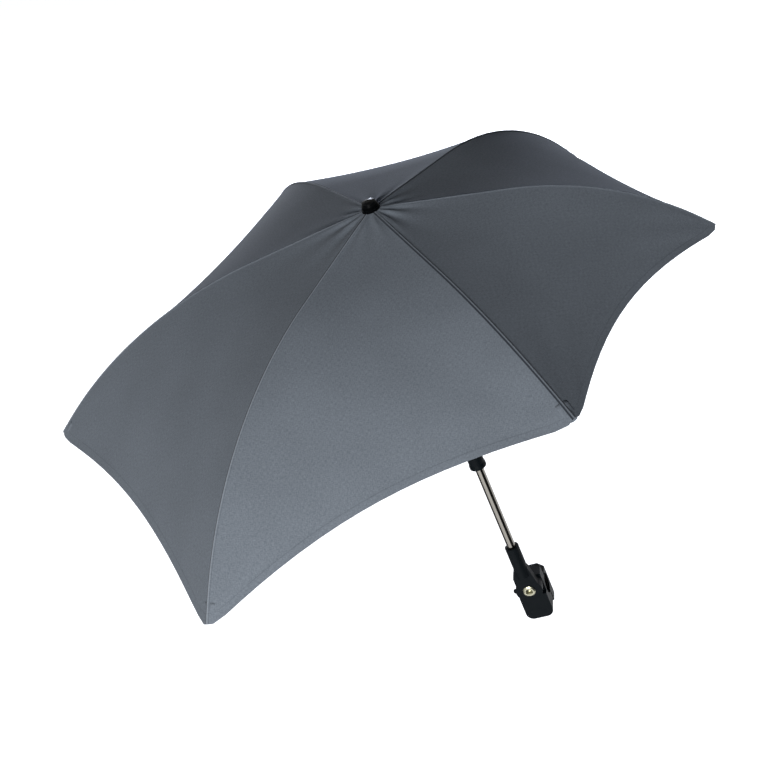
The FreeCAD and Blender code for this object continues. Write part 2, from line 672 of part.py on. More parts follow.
def bent_rib(number, line):
    rib = new_body("rib_%d" % (number + 1))
    reach, fall = tip_texts(number)
    path = sketch_on(rib, "XZ_Plane", "path")
    start = ("hinge_radius + rib_start * cos(rib_slope)", "-rib_start * sin(rib_slope)")
    bend = ("hinge_radius + rib_bend * cos(rib_slope)", "-rib_bend * sin(rib_slope)")
    spots = [Vector(value(across), value(up), 0) for across, up in (start, bend)]
    path.addGeometry(Part.LineSegment(*spots), False)
    middle = Vector(line.middle.x, line.middle.z, 0)
    ends = [math.atan2(spot.z - line.middle.z, spot.x - line.middle.x) for spot in (line.tip, line.bend)]
    ring = Part.Circle(middle, Vector(0, 0, 1), line.radius)
    path.addGeometry(Part.ArcOfCircle(ring, *ends), False)
    hold(path, 0, 1, *start)
    hold(path, 0, 2, *bend)
    hold(path, 1, 1, reach, "-" + fall)
    path.addConstraint(Sketcher.Constraint("Tangent", 0, 2, 1, 2))
    eye = sketch_on(rib, "XZ_Plane", "eye")
    circle(eye, "hinge_radius", "0", "rib_eye_radius")
    pad(eye, "rib_eye_width", both=True)
    neck = sketch_on(rib, "XZ_Plane", "neck")
    neck_end = ("hinge_radius + rib_eye_length * cos(rib_slope)", "-rib_eye_length * sin(rib_slope)")
    outline(neck, [("hinge_radius", "-rib_side / 2"), (neck_end[0], neck_end[1] + " - rib_side / 2"),
                   (neck_end[0], neck_end[1] + " + rib_side / 2"), ("hinge_radius", "rib_side / 2")])
    pad(neck, "rib_eye_width", both=True)
    section = rib.newObject("Sketcher::SketchObject", rib.Name + "_section")
    section.AttachmentSupport = [(path, "Edge1")]
    section.MapMode = "NormalToEdge"
    section.MapPathParameter = 0.0
    block(section, "-rib_side / 2", "rib_side / 2", "-rib_side / 2", "rib_side / 2")
    pipe = rib.newObject("PartDesign::AdditivePipe", rib.Name + "_pipe")
    pipe.Profile = section
    pipe.Spine = (path, ["Edge1", "Edge2"])
    stalk = sketch_on(rib, "XZ_Plane", "stalk")
    block(stalk, JOINT_X + " - joint_web", JOINT_X + " + joint_web", JOINT_Z, JOINT_Z + " + joint_drop")
    pad(stalk, "rib_eye_width", both=True)
    lug = sketch_on(rib, "XZ_Plane", "lug")
    circle(lug, JOINT_X, JOINT_Z, "rib_eye_radius")
    pad(lug, "rib_eye_width", both=True)
    holes = sketch_on(rib, "XZ_Plane", "holes")
    circle(holes, "hinge_radius", "0", "pin_radius + fit_gap")
    circle(holes, JOINT_X, JOINT_Z, "pin_radius")
    pocket(holes, "2 * rib_eye_width", both=True)
    rib.Placement = rib_frame(number)


def rib_tip(number, line):
    tip = new_body("rib_tip_%d" % (number + 1))
    shape = sketch_on(tip, "XZ_Plane", "shape")
    outline(shape, [("0", "tip_over - tip_length"), ("tip_radius", "tip_over - tip_length"),
                    ("tip_radius", "tip_over - tip_round"),
                    ("tip_radius - tip_round", "tip_over"), ("0", "tip_over")])
    spin(shape)
    socket = sketch_on(tip, "XY_Plane", "socket")
    low, high = "-rib_side / 2 - tip_socket_gap", "rib_side / 2 + tip_socket_gap"
    block(socket, low, high, low, high)
    pocket(socket, "tip_length")
    lean = math.degrees(slope + line.sweep) + 90.0
    tip.Placement = rib_frame(number) * Placement(line.tip, Rotation(Vector(0, 1, 0), lean))


def cross_pin(label, number, spot, radius, length):
    pin = rod(label, radius, length)
    half = Vector(0, -value(length) / 2, 0)
    pin.Placement = rib_frame(number) * Placement(spot + half, ALONG_Y)
    return pin


def stretcher(number):
    arm = new_body("stretcher_%d" % (number + 1))
    fork = sketch_on(arm, "XZ_Plane", "fork")
    block(fork, "0", "fork_length", "-rib_eye_radius", "rib_eye_radius")
    pad(fork, "fork_width", both=True)
    fork_end = sketch_on(arm, "XZ_Plane", "fork_end")
    circle(fork_end, "0", "0", "rib_eye_radius")
    pad(fork_end, "fork_width", both=True)
    gap = sketch_on(arm, "XZ_Plane", "gap")
    block(gap, "-fork_length", "fork_slot_depth", "-fork_length", "fork_length")
    pocket(gap, "fork_slot", both=True)
    bar = sketch_on(arm, "XZ_Plane", "bar")
    block(bar, "fork_slot_depth", "stretcher_length - stretcher_eye_radius / 2",
          "-stretcher_height / 2", "stretcher_height / 2")
    pad(bar, "stretcher_width", both=True)
    eye = sketch_on(arm, "XZ_Plane", "eye")
    circle(eye, "stretcher_length", "0", "stretcher_eye_radius")
    pad(eye, "stretcher_width", both=True)
    holes = sketch_on(arm, "XZ_Plane", "holes")
    circle(holes, "0", "0", "pin_radius + fit_gap")
    circle(holes, "stretcher_length", "0", "pin_radius")
    pocket(holes, "2 * fork_width", both=True)
    arm.Placement = rib_frame(number) * Placement(joint, Rotation(Vector(0, 1, 0), stretcher_turn))


def cloth_point(lines, number, other, share, toward):
    bow = 4 * toward * (1 - toward)
    reached = share * (1 - value("hem_share") * bow)
    spots = []
    for index in (number, other):
        first = (value("cloth_hole") - hinge.x) / along.x
        distance = first + reached * (lines[index].run + value("cloth_tip") - first)
        spots.append(rib_frame(index).multVec(lines[index].point(distance, value("cloth_lift"))))
    chord = spots[1] - spots[0]
    trim = value("cloth_gap") / 2 * toward / chord.Length
    return spots[0] + chord * (toward - trim) - Vector(0, 0, value("gore_sag") * reached * bow)


def cloth_row(lines, number, share):
    before, after = (number - 1) % count, (number + 1) % count
    row = [cloth_point(lines, number, before, share, way) for way in reversed(half_gore_shares[1:])]
    return row + [cloth_point(lines, number, after, share, way) for way in half_gore_shares]


def facets(first, second, third, fourth):
    corners = ((first, second, third), (first, third, fourth))
    return [Part.Face(Part.makePolygon([*three, three[0]])) for three in corners]


def cloth_sector(lines, number):
    drop = Vector(0, 0, -value("cloth_thickness"))
    steps = int(value("cloth_steps"))
    rows = [cloth_row(lines, number, step / steps) for step in range(steps + 1)]
    faces = []
    for near, far in zip(rows, rows[1:]):
        for step in range(len(near) - 1):
            patch = (near[step], near[step + 1], far[step + 1], far[step])
            faces += facets(*patch)
            faces += facets(*[spot + drop for spot in reversed(patch)])
    rim = rows[0][:-1] + [row[-1] for row in rows[:-1]] + rows[-1][:0:-1] + [row[0] for row in rows[:0:-1]]
    for here, after in zip(rim, rim[1:] + rim[:1]):
        faces += facets(here, here + drop, after + drop, after)
    shell = Part.makeShell(faces)
    shell.sewShape()
    return Part.makeSolid(shell)


half_gore_shares = (0, 1 / 6, 1 / 3, 1 / 2)
lines = [RibLine(number) for number in range(count)]
crown_pins = []
for number, line in enumerate(lines):
    bent_rib(number, line)
    rib_tip(number, line)
    cross_pin("joint_pin_%d" % (number + 1), number, joint, "pin_radius", "joint_pin_length")
    stretcher(number)
    runner_end = Vector(value("runner_radius"), 0, -runner_drop)
    cross_pin("runner_pin_%d" % (number + 1), number, runner_end, "pin_radius", "runner_pin_length")
    crown_pins.append(cross_pin("crown_pin_%d" % (number + 1), number, hinge, "pin_radius", "crown_pin_length"))
    nodes.pop()
    cloth = doc.addObject("Part::Feature", "canopy_%d" % (number + 1))
    cloth.Shape = cloth_sector(lines, number)
    nodes.append(cloth)

pins = doc.addObject("Part::Compound", "crown_pins")
pins.Links = crown_pins
nodes.append(pins)

doc.recompute()
for thing in doc.Objects:
    if "Invalid" in thing.State or "Error" in thing.State:
        raise RuntimeError("%s did not compute: %s" % (thing.Label, thing.State))
os.makedirs("parts", exist_ok=True)
for node in nodes:
    if node.Shape.isNull() or not node.Shape.isValid() or not node.Shape.Solids:
        raise RuntimeError("%s has no sound shape" % node.Label)
    node.Shape.exportStep("parts/%s.step" % node.Label)
print("%d pieces" % len(nodes))
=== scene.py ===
import json
import math
from collections import Counter

import bpy
from mathutils import Matrix, Vector


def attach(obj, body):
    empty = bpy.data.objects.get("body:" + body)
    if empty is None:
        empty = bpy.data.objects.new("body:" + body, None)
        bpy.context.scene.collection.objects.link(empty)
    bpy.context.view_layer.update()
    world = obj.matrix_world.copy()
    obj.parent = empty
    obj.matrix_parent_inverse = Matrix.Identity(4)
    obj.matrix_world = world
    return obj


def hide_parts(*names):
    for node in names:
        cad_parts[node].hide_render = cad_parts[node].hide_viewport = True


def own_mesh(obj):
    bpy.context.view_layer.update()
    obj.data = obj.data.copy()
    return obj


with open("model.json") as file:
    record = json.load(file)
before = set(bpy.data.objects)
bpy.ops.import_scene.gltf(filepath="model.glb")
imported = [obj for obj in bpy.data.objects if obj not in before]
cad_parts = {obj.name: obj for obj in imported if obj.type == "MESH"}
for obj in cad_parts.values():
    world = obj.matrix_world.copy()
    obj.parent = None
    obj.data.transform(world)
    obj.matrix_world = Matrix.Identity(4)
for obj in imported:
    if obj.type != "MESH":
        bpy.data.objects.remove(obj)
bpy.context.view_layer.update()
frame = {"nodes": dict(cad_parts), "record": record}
scene = bpy.context.scene


# sRGB hex to linear red, green, blue and alpha.
def srgb(hexText):
    parts = [int(hexText[i:i + 2], 16) / 255 for i in (0, 2, 4)]
    return [c / 12.92 if c <= 0.04045 else ((c + 0.055) / 1.055) ** 2.4 for c in parts] + [1]


# Links the socket to another one, or sets it to a plain value.
def fill(owner, socket, value):
    if isinstance(value, bpy.types.NodeSocket):
        owner.node_tree.links.new(value, socket)
    else:
        socket.default_value = value


# Adds one node with its settings and inputs, and gives back one of its outputs.
def add(owner, kind, settings={}, inputs={}, out=0):
    node = owner.node_tree.nodes.new("ShaderNode" + kind)
    for key, value in settings.items():
        setattr(node, key, value)
    for key, value in inputs.items():
        fill(owner, node.inputs[key], value)
    return node.outputs[out]


def newMaterial(name, sockets):
    material = bpy.data.materials.new(name)
    material.use_nodes = True
    shader = material.node_tree.nodes["Principled BSDF"]
    for key, value in sockets.items():
        shader.inputs[key].default_value = value
    return material, shader


# Shape of the canopy, in metres and degrees.  The ribs' lines are the same as in the CAD.
canopy = {
    "ribs": 6, "shaftY": -0.0245, "hingeZ": 0.529, "hingeRadius": 0.010,
    "slope": 9.0, "bend": 0.126,  # a rib's first fall, and how far out it bends
    "reach": 0.356, "reachShares": [0.87, 0.91, 0.97, 1.155, 1.11, 0.97],
    "fall": 0.131, "fallShares": [0.88, 1.05, 0.74, 1.155, 1.365, 0.68],
    "lift": 0.005, "hole": 0.008,  # cloth above the rib's middle line, and its hole for the cap
    "tipOver": 0.0118, "sag": 0.009,  # cloth past the rib's end, and its dip between two ribs
    "hemShares": [0.092, 0.092, 0.092, 0.067, 0.095, 0.108],  # depth of each gore's hem curve
    "bluntBack": 0.0076, "bluntHalf": 0.0115, "bluntCurve": 1.15,  # cut of the corners
}
ribCount = canopy["ribs"]
slope = math.radians(canopy["slope"])
along = Vector((math.cos(slope), 0, -math.sin(slope)))
below = Vector((-math.sin(slope), 0, -math.cos(slope)))
hinge = Vector((canopy["hingeRadius"], 0, 0))
crownSpot = Vector((0, canopy["shaftY"], canopy["hingeZ"]))


# A rib runs straight from its hinge and then bends down in one arc to its tip.
def ribLine(number):
    reach = canopy["reach"] * canopy["reachShares"][number]
    fall = canopy["fall"] * canopy["fallShares"][number]
    start = hinge + along * canopy["bend"]
    chord = Vector((reach, 0, -fall)) - start
    sink = chord.dot(below)
    radius = chord.length_squared / (2 * sink)
    sweep = 2 * math.atan2(sink, chord.dot(along))
    return {"turn": Matrix.Rotation(2 * math.pi * number / ribCount, 3, "Z"), "radius": radius,
            "middle": start + below * radius, "run": canopy["bend"] + radius * sweep}


ribs = [ribLine(number) for number in range(ribCount)]


# Point at a distance along a rib, raised from its middle line and moved to one side.
def ribPoint(rib, distance, lift, side=0.0):
    if distance <= canopy["bend"]:
        spot = hinge + along * distance - below * lift
    else:
        turned = (distance - canopy["bend"]) / rib["radius"]
        outward = along * math.sin(turned) - below * math.cos(turned)
        spot = rib["middle"] + outward * (rib["radius"] + lift)
    return rib["turn"] @ (spot + Vector((0, side, 0))) + crownSpot


# Point on the seam over a rib, at a share of the way from the cap to the corner.
def seamPoint(rib, share):
    first = (canopy["hole"] - canopy["hingeRadius"]) / along.x
    distance = first + share * (rib["run"] + canopy["tipOver"] - first)
    return ribPoint(rib, distance, canopy["lift"])


# The hem bows in between two tips, and each tip is cut back so that the corner is blunt.
def clothPoint(number, other, share, toward):
    bow = 4 * toward * (1 - toward)
    gore = number if other == (number + 1) % ribCount else other
    wide = (seamPoint(ribs[number], share) - seamPoint(ribs[other], share)).length
    corner = max(0, 1 - min(toward, 1 - toward) * wide / canopy["bluntHalf"])
    blunt = corner ** canopy["bluntCurve"]
    cut = blunt * canopy["bluntBack"] / ribs[number]["run"]
    share *= 1 - canopy["hemShares"][gore] * bow - cut
    here, there = seamPoint(ribs[number], share), seamPoint(ribs[other], share)
    return here.lerp(there, toward) - Vector((0, 0, canopy["sag"] * share * bow))


def ramp(value, low, high):
    return min(1, max(0, (value - low) / (high - low)))


# One sheet of cloth in six sectors, each centred on its rib.  Neighbours share their edge points
# and normals, so the sheet has no joint where two sectors meet.  In metres, unless a note says
# otherwise.
cloth = {
    "thickness": 0.0005, "rows": 44,
    "hemSteps": [0.014, 0.0095, 0.0085, 0.0078, 0.0068, 0.003, 0.001, 0.0],
    "seamSteps": [0.0, 0.0005, 0.0010, 0.0015, 0.0020, 0.0027, 0.0045, 0.0076],
    "seamSpread": 0.035,  # most that one seam step may take, as a share of the gore
    "gaps": [0.07, 0.16, 0.26, 0.37, 0.5, 0.63, 0.76, 0.88, 1.0],  # shares
    "ridge": 0.0004, "ridgeHalf": 0.0020,  # cloth raised by the rib under it
    "fell": 0.0003, "fellWidth": 0.0018, "fellEdge": 0.0004,  # seam folded to one side
    "seamFade": (0.004, 0.02),  # both flatten towards the cap
    "hemRaise": 0.0002, "hemWidth": 0.008, "hemEdge": 0.0008,
    "tipFolds": 0.0011, "tipFoldReach": 0.045, "tipFoldFade": (0.003, 0.012),
    "tipFoldCount": 9, "tipFoldBack": 0.004,  # folds fan out from behind each corner
    "topFolds": 0.0030, "topFoldReach": 0.026, "topFoldFade": (0.001, 0.006),
    "topFoldStart": (0.008, 0.02), "topFoldCount": 2.3,  # folds across one gore at the cap
    "topFoldShift": 2.4,  # radians from one gore to the next, so that no two are alike
    "paintedSeamShades": [0.15, 0.9, 0.9, 0.9, 0.9, 0.9],  # darkness of the painted shade beside each rib's seam
}
columns = len(cloth["seamSteps"]) + len(cloth["gaps"])
averageRun = sum(rib["run"] for rib in ribs) / ribCount
lastRow = 1 - cloth["hemSteps"][0] / averageRun
shares = [lastRow * row / cloth["rows"] for row in range(cloth["rows"])]
shares += [1 - step / averageRun for step in cloth["hemSteps"]]


# Share of the way to the next rib: close columns at the seam, then wide ones to the gore's middle.
def columnShare(column, wide):
    steps = cloth["seamSteps"]
    if column < len(steps):
        return min(steps[column] / wide, cloth["seamSpread"] * column)
    first = min(steps[-1] / wide, cloth["seamSpread"] * (len(steps) - 1))
    return first + (0.5 - first) * cloth["gaps"][column - len(steps)]


# Name of a grid point.  Both halves of a sector share its seam, and neighbours share a middle.
def gridKey(number, side, row, column):
    if column == 0:
        return ("seam", number, row)
    if column == columns - 1:
        return ("middle", number if side == 1 else (number - 1) % ribCount, row)
    return (number, side, row, column)


# Height of the ridge over the rib, the felled seam beside it, the hem and the pulled folds.
def clothRelief(seam, hem, run, gore, across):
    off = abs(seam)
    height = cloth["ridge"] * (1 - ramp(off, 0, cloth["ridgeHalf"]))
    if seam >= 0:
        fellEnd = cloth["fellWidth"] + cloth["fellEdge"]
        height += cloth["fell"] * (1 - ramp(off, cloth["fellWidth"], fellEnd))
    height *= ramp(run, *cloth["seamFade"])
    hemEnd = cloth["hemWidth"] + cloth["hemEdge"]
    height += cloth["hemRaise"] * (1 - ramp(hem, cloth["hemWidth"], hemEnd))
    fading = math.exp(-math.hypot(hem, off) / cloth["tipFoldReach"])
    fading *= ramp(off, *cloth["tipFoldFade"])
    fan = math.atan2(off, hem + cloth["tipFoldBack"])
    height += cloth["tipFolds"] * fading * math.sin(cloth["tipFoldCount"] * fan)
    fading = math.exp(-run / cloth["topFoldReach"]) * ramp(off, *cloth["topFoldFade"])
    fading *= ramp(run, *cloth["topFoldStart"])
    wave = 2 * math.pi * cloth["topFoldCount"] * across + cloth["topFoldShift"] * gore
    return height + cloth["topFolds"] * fading * math.sin(wave)


# A point's details: its distances from the seam, hem and cap, its gore and its share across that.
points, details, sectorFaces = {}, {}, []
for number in range(ribCount):
    faces = []
    for side in (1, -1):
        other = (number + side) % ribCount
        gore = number if side == 1 else other
        for row, share in enumerate(shares):
            wide = (seamPoint(ribs[number], share) - seamPoint(ribs[other], share)).length
            for column in range(columns):
                key = gridKey(number, side, row, column)
                toward = columnShare(column, wide)
                points[key] = clothPoint(number, other, share, toward)
                details[number, key] = (
                    side * toward * wide, (1 - share) * averageRun, share * averageRun,
                    gore, toward if side == 1 else 1 - toward)
        for row in range(len(shares) - 1):
            for column in range(columns - 1):
                corners = ((row, column), (row + 1, column),
                           (row + 1, column + 1), (row, column + 1))
                face = [gridKey(number, side, *corner) for corner in corners]
                faces.append((face if side == 1 else face[::-1], gore))
    sectorFaces.append(faces)


# Normals of the whole sheet, averaged over the faces of every sector round a point.
def sheetNormals():
    normals = {key: Vector() for key in points}
    for faces in sectorFaces:
        for face, gore in faces:
            a, b, c, d = (points[key] for key in face)
            for key in face:
                normals[key] += (c - a).cross(d - b)
    return {key: normal.normalized() for key, normal in normals.items()}


smoothNormals = sheetNormals()
relief = {key: clothRelief(*detail) for (number, key), detail in details.items()}
for key, normal in smoothNormals.items():
    points[key] = points[key] + normal * relief[key]
normals = sheetNormals()
print("canopy grid", len(points), "points")


# Flat axes of one gore, so that its threads run straight down from the apex to the hem.
def goreAxes(gore):
    after = (gore + 1) % ribCount
    apex, edge = clothPoint(gore, after, 0, 0.5), clothPoint(gore, after, 1, 0.5)
    down = (edge - apex).normalized()
    wide = seamPoint(ribs[after], 1) - seamPoint(ribs[gore], 1)
    return apex, (wide - down * wide.dot(down)).normalized(), down


goreFrames = [goreAxes(gore) for gore in range(ribCount)]


# Polyester woven from two greys: a matt mottled cloth with fine flecks along both threads.
def clothMaterial():
    look = {
        "thread": 1.0,  # mm; the real 0.35 mm is too fine to show
        "fleck": (0.7, 3.2),  # mm, wide and long; drawn twice as coarse as real ones to show
        "mottle": 70.0,  # mm, a patch of slightly paler or darker cloth
        # edge is the colour of a painted highlight along each seam's ridge
        "dark": "656C74", "pale": "7A8189", "shadow": "23272D", "edge": "A2A7AE",
        "relief": 0.00015,  # metres, from the top of a thread to the gap beside it
    }
    material, shader = newMaterial("Polyester canopy cloth, heather-woven", {
        "Roughness": 0.88, "Sheen Weight": 0.08, "Sheen Roughness": 0.5,
        "Specular IOR Level": 0.05})
    paintedSeamShade = add(material, "Attribute", {"attribute_name": "paintedSeamShade"}, {}, "Fac")
    lines = [  # distance that it follows, middle and half width in metres, colour, strength
        # painted shade beside each seam, as strong as its rib's entry in the cloth's list of seam
        # shades
        ("seam", -0.0013, 0.0012, "shadow", paintedSeamShade),
        # painted highlight along the top of each seam's ridge
        ("seam", 0.0005, 0.0006, "edge", 0.30),
        ("seam", 0.0021, 0.0004, "shadow", 0.30),
        ("hem", 0.0083, 0.0006, "shadow", 0.13),
    ]
    place = add(material, "UVMap", {"uv_map": "weave"})
    thin, long = (1000 / size for size in look["fleck"])
    flecks = []
    for stretch in ((thin, long, 1.0), (long, thin, 1.0)):
        stretched = add(material, "Mapping", {}, {"Vector": place, "Scale": stretch})
        flecks.append(add(material, "TexNoise", {}, {
            "Vector": stretched, "Scale": 1.0, "Detail": 1.5}))
    both = add(material, "Math", {"operation": "ADD"}, {0: flecks[0], 1: flecks[1]})
    fleck = add(material, "MapRange", {}, {"Value": both, "From Min": 0.7, "From Max": 1.3})
    colour = add(material, "Mix", {"data_type": "RGBA"}, {
        "Factor": fleck, "A": srgb(look["dark"]), "B": srgb(look["pale"])}, "Result")
    broad = add(material, "TexNoise", {}, {
        "Vector": place, "Scale": 1000 / look["mottle"], "Detail": 3.0})
    shade = add(material, "MapRange", {}, {
        "Value": broad, "From Min": 0.3, "From Max": 0.7, "To Min": 0.95, "To Max": 1.05})
    colour = add(material, "Mix", {"data_type": "RGBA", "blend_type": "MULTIPLY"}, {
        "Factor": 1.0, "A": colour, "B": shade}, "Result")
    for attribute, middle, half, tone, strength in lines:
        distance = add(material, "Attribute", {"attribute_name": attribute}, {}, "Fac")
        off = add(material, "Math", {"operation": "SUBTRACT"}, {0: distance, 1: middle})
        off = add(material, "Math", {"operation": "ABSOLUTE"}, {0: off})
        mask = add(material, "MapRange", {}, {
            "Value": off, "From Min": half * 0.5, "From Max": half,
            "To Min": strength, "To Max": 0.0})
        colour = add(material, "Mix", {"data_type": "RGBA"}, {
            "Factor": mask, "A": colour, "B": srgb(look[tone])}, "Result")
    fill(material, shader.inputs["Base Color"], colour)

    bands = 0.31416 * 1000 / look["thread"]  # a wave texture's bands are 0.314 / scale apart
    threads = [add(material, "TexWave", {"bands_direction": way}, {
        "Vector": place, "Scale": bands, "Distortion": 0.5}, "Fac") for way in ("X", "Y")]
    crossing = add(material, "Math", {"operation": "MULTIPLY"}, {0: threads[0], 1: threads[1]})
    height = add(material, "Math", {"operation": "ADD"}, {0: crossing, 1: fleck})
    fill(material, shader.inputs["Normal"], add(material, "Bump", {}, {
        "Strength": 0.18, "Distance": look["relief"], "Height": height}))
    return material


clothLook = clothMaterial()


# Both faces of the sheet with a rim all round, so that the cloth has its thickness.
def sectorMesh(number, faces):
    name = "canopySector%d" % (number + 1)
    keys = list(dict.fromkeys(key for face, gore in faces for key in face))
    order = {key: place for place, key in enumerate(keys)}
    count = len(keys)
    spots = [points[key] for key in keys]
    spots += [points[key] - normals[key] * cloth["thickness"] for key in keys]
    uses = Counter(frozenset((face[i], face[i - 1])) for face, gore in faces for i in range(4))
    polygons, gores = [], []
    for face, gore in faces:
        ids = [order[key] for key in face]
        polygons += [ids, [count + i for i in ids[::-1]]]
        polygons += [[ids[i], ids[i - 1], ids[i - 1] + count, ids[i] + count]
                     for i in range(4) if uses[frozenset((face[i], face[i - 1]))] == 1]
        gores += [gore] * (len(polygons) - len(gores))
    mesh = bpy.data.meshes.new(name)
    mesh.from_pydata(spots, [], polygons)
    for attribute, place in (("seam", 0), ("hem", 1)):
        layer = mesh.attributes.new(attribute, "FLOAT", "POINT")
        layer.data.foreach_set("value", [details[number, key][place] for key in keys] * 2)
    # how strong the painted shade beside this sector's seam is
    layer = mesh.attributes.new("paintedSeamShade", "FLOAT", "POINT")
    layer.data.foreach_set("value", [cloth["paintedSeamShades"][number]] * len(spots))
    weave = mesh.uv_layers.new(name="weave")
    for polygon, gore in zip(mesh.polygons, gores):
        apex, wide, down = goreFrames[gore]
        polygon.use_smooth = True
        for loop in polygon.loop_indices:
            offset = mesh.vertices[mesh.loops[loop].vertex_index].co - apex
            weave.data[loop].uv = (offset.dot(wide) + gore, offset.dot(down) + gore)
    outward = [normals[key] for key in keys]
    mesh.normals_split_custom_set_from_vertices(outward + [-normal for normal in outward])
    return mesh


# Pocket sewn under each corner: a flattened sleeve of the same cloth, closed over the rib's tip.
pocket = {
    "length": 0.016, "over": 0.0038, "halfWide": 0.0070, "halfHigh": 0.0044, "lift": -0.0004,
    "around": 20, "rows": 10,
    "mouth": 1.06, "end": 0.94, "closing": 9, "closed": 0.02,  # shares of its size along it
    "farAway": 1.0,  # metres from any seam or hem, so that none of their lines is drawn on it
}


def pocketMesh(number):
    rib, around = ribs[number], pocket["around"]
    spots, polygons = [], []
    for row in range(pocket["rows"] + 1):
        share = math.sin(row / pocket["rows"] * math.pi / 2)
        distance = rib["run"] - pocket["length"] + share * (pocket["length"] + pocket["over"])
        taper = pocket["mouth"] + (pocket["end"] - pocket["mouth"]) * share
        size = max(pocket["closed"], (1 - share ** pocket["closing"]) ** 0.5) * taper
        for step in range(around):
            angle = 2 * math.pi * step / around
            lift = pocket["lift"] + pocket["halfHigh"] * size * math.sin(angle)
            aside = pocket["halfWide"] * size * math.cos(angle)
            spots.append(ribPoint(rib, distance, lift, aside))
    for row in range(pocket["rows"]):
        for step in range(around):
            here, after = row * around + step, row * around + (step + 1) % around
            polygons.append([here, after, after + around, here + around])
    polygons.append([pocket["rows"] * around + step for step in range(around)])
    mesh = bpy.data.meshes.new("tipPocket%d" % (number + 1))
    mesh.from_pydata(spots, [], polygons)
    apex, wide, down = goreFrames[number]
    weave = mesh.uv_layers.new(name="weave")
    for polygon in mesh.polygons:
        polygon.use_smooth = True
    for loop in mesh.loops:
        offset = mesh.vertices[loop.vertex_index].co - apex
        weave.data[loop.index].uv = (offset.dot(wide), offset.dot(down))
    for attribute in ("seam", "hem"):
        layer = mesh.attributes.new(attribute, "FLOAT", "POINT")
        layer.data.foreach_set("value", [pocket["farAway"]] * len(spots))
    return mesh


def clothPiece(mesh, number):
    piece = bpy.data.objects.new(mesh.name, mesh)
    scene.collection.objects.link(piece)
    mesh.materials.append(clothLook)
    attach(piece, "rib_%d" % (number + 1))
    return piece


# Each sector and its pocket ride on their rib.
for number, faces in enumerate(sectorFaces):
    sector = clothPiece(sectorMesh(number, faces), number)
    sleeve = clothPiece(pocketMesh(number), number)
    thick = sleeve.modifiers.new("cloth", "SOLIDIFY")
    thick.thickness = cloth["thickness"]
    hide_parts("canopy_%d" % (number + 1))
    across = ribs[number]["turn"] @ Vector((0, 1, 0))
    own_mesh(sector)
    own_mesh(sleeve)
    sides = [clothPoint(number, (number + side) % ribCount, 1, 0.5) for side in (1, -1)]
    wide, length = (sides[0] - sides[1]).length, ribs[number]["run"]
print("canopy cloth made")


# Moulded black plastic: dark and even, with a fine spark texture and a painted highlight along its
# edges.
# Lacquer looks much the same, so the ribs use it too.
def plasticMaterial(name, hexText, roughness, grain, gloss):
    look = {
        "grit": 0.4,  # mm; a real spark texture of 0.1 mm is too fine to show
        "cloud": 11.0,  # mm, a patch where the surface is a little duller
        "highlightTone": "2B2F33", "highlightStrength": 0.55,  # colour of the painted highlight on edges, and how much of it shows
        "edge": 0.0006, "relief": 0.00012,  # metres
    }
    material, shader = newMaterial(name, {"IOR": 1.49, "Specular IOR Level": gloss})
    place = add(material, "TexCoord", {}, {}, "Object")
    fine = add(material, "TexNoise", {}, {
        "Vector": place, "Scale": 1000 / look["grit"], "Detail": 2.0})
    broad = add(material, "TexNoise", {}, {
        "Vector": place, "Scale": 1000 / look["cloud"], "Detail": 3.0})
    soft = add(material, "Bevel", {"samples": 4}, {"Radius": look["edge"]})
    flat = add(material, "NewGeometry", {}, {}, "Normal")
    turn = add(material, "VectorMath", {"operation": "DOT_PRODUCT"}, {0: soft, 1: flat}, "Value")
    # painted highlight: edges are paler, more in some patches than in others
    edgeHighlight = add(material, "MapRange", {}, {  # 1 is flat, and less is an edge
        "Value": turn, "From Min": 0.99, "From Max": 0.85, "To Min": 0.0, "To Max": look["highlightStrength"]})
    edgeHighlight = add(material, "Math", {"operation": "MULTIPLY"}, {0: edgeHighlight, 1: broad})
    fill(material, shader.inputs["Base Color"], add(material, "Mix", {"data_type": "RGBA"}, {
        "Factor": edgeHighlight, "A": srgb(hexText), "B": srgb(look["highlightTone"])}, "Result"))
    fill(material, shader.inputs["Roughness"], add(material, "MapRange", {}, {
        "Value": broad, "From Min": 0.3, "From Max": 0.7,
        "To Min": roughness - 0.06, "To Max": roughness + 0.08}))
    fill(material, shader.inputs["Normal"], add(material, "Bump", {}, {
        "Strength": grain, "Distance": look["relief"], "Height": fine}))
    return material


# Plated or bare metal: mirror-like, with faint lines left by drawing or turning.
def metalMaterial(name, hexText, roughness, lineSize):
    look = {"relief": 0.00003}  # metres
    material, shader = newMaterial(name, {"Metallic": 1.0})
    place = add(material, "TexCoord", {}, {}, "Object")
    stretch = tuple(1000 / size for size in lineSize)
    lines = add(material, "Mapping", {}, {"Vector": place, "Scale": stretch})
    drawn = add(material, "TexNoise", {}, {"Vector": lines, "Scale": 1.0, "Detail": 3.0})
    shade = add(material, "MapRange", {}, {
        "Value": drawn, "From Min": 0.3, "From Max": 0.7, "To Min": 0.92, "To Max": 1.04})
    multiply = {"data_type": "RGBA", "blend_type": "MULTIPLY"}
    fill(material, shader.inputs["Base Color"], add(material, "Mix", multiply, {
        "Factor": 1.0, "A": srgb(hexText), "B": shade}, "Result"))
    fill(material, shader.inputs["Roughness"], add(material, "MapRange", {}, {
        "Value": drawn, "From Min": 0.3, "From Max": 0.7,
        "To Min": roughness - 0.04, "To Max": roughness + 0.06}))
    fill(material, shader.inputs["Normal"], add(material, "Bump", {}, {
        "Strength": 0.03, "Distance": look["relief"], "Height": drawn}))
    return material


